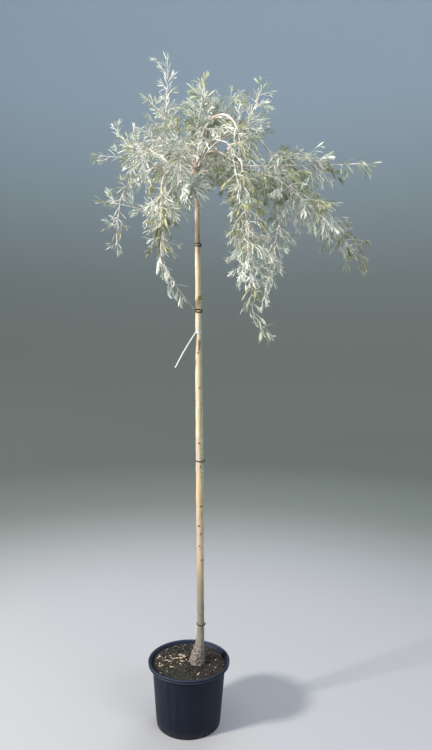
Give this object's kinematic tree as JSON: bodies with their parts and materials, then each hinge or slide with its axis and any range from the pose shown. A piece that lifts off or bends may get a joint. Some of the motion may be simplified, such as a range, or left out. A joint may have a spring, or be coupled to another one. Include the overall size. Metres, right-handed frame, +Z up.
{
  "type": "potted weeping pear",
  "caption": "Weeping silver-leaved pear grafted at the top of a tall bare stem, with ties and a blank label, in a round black nursery pot of compost.",
  "frame": {"origin": "centre of the pot's flat underside", "axes": "+Z up along the pot's axis, +X to the right as seen from the front of the plant, +Y away from that viewer"},
  "size_m": [1.0699, 0.829, 2.4486],
  "materials": {
    "pot": "black moulded plastic with a slight blue sheen, scuffed",
    "soil": "dark brown compost with pale bark chips",
    "stem": "smooth buff bark, greyer towards the foot, with brown pruning scars",
    "bough": "pale pinkish grey young bark",
    "foliage": "silvery grey-green felted leaves",
    "tie": "dull black tie",
    "label": "plain white plastic strip, blank"
  },
  "bodies": {
    "root": {"pot": "pot", "soil": "soil", "trunk": "stem", "tie_upper": "tie", "tie_crown": "tie", "tie_middle": "tie", "tie_lower": "tie", "label": "label", "bough_leader": "bough", "bough_left_upper": "bough", "bough_left_high": "bough", "bough_left_out": "bough", "bough_left_low": "bough", "bough_left_drooping": "bough", "bough_left_weeping": "bough", "bough_left_middle": "bough", "bough_top_middle": "bough", "bough_upper_right": "bough", "bough_top_right": "bough", "bough_front_weeping": "bough", "bough_right_out": "bough", "bough_right_middle": "bough", "bough_right_low": "bough", "bough_right_inner": "bough", "bough_back_top": "bough", "bough_back_out": "bough", "bough_back_left": "bough", "bough_back_right": "bough", "bough_back_low": "bough", "bough_back_high": "bough", "bough_front_left": "bough", "bough_front_right": "bough", "foliage_leader": "foliage", "foliage_left_upper": "foliage", "foliage_left_high": "foliage", "foliage_left_out": "foliage", "foliage_left_low": "foliage", "foliage_left_drooping": "foliage", "foliage_left_weeping": "foliage", "foliage_left_middle": "foliage", "foliage_top_middle": "foliage", "foliage_upper_right": "foliage", "foliage_top_right": "foliage", "foliage_front_weeping": "foliage", "foliage_right_out": "foliage", "foliage_right_middle": "foliage", "foliage_right_low": "foliage", "foliage_right_inner": "foliage", "foliage_back_top": "foliage", "foliage_back_out": "foliage", "foliage_back_left": "foliage", "foliage_back_right": "foliage", "foliage_back_low": "foliage", "foliage_back_high": "foliage", "foliage_front_left": "foliage", "foliage_front_right": "foliage", "foliage_inner_right": "foliage", "foliage_inner_back": "foliage", "foliage_front_rosette": "foliage"}
  },
  "joints": []
}
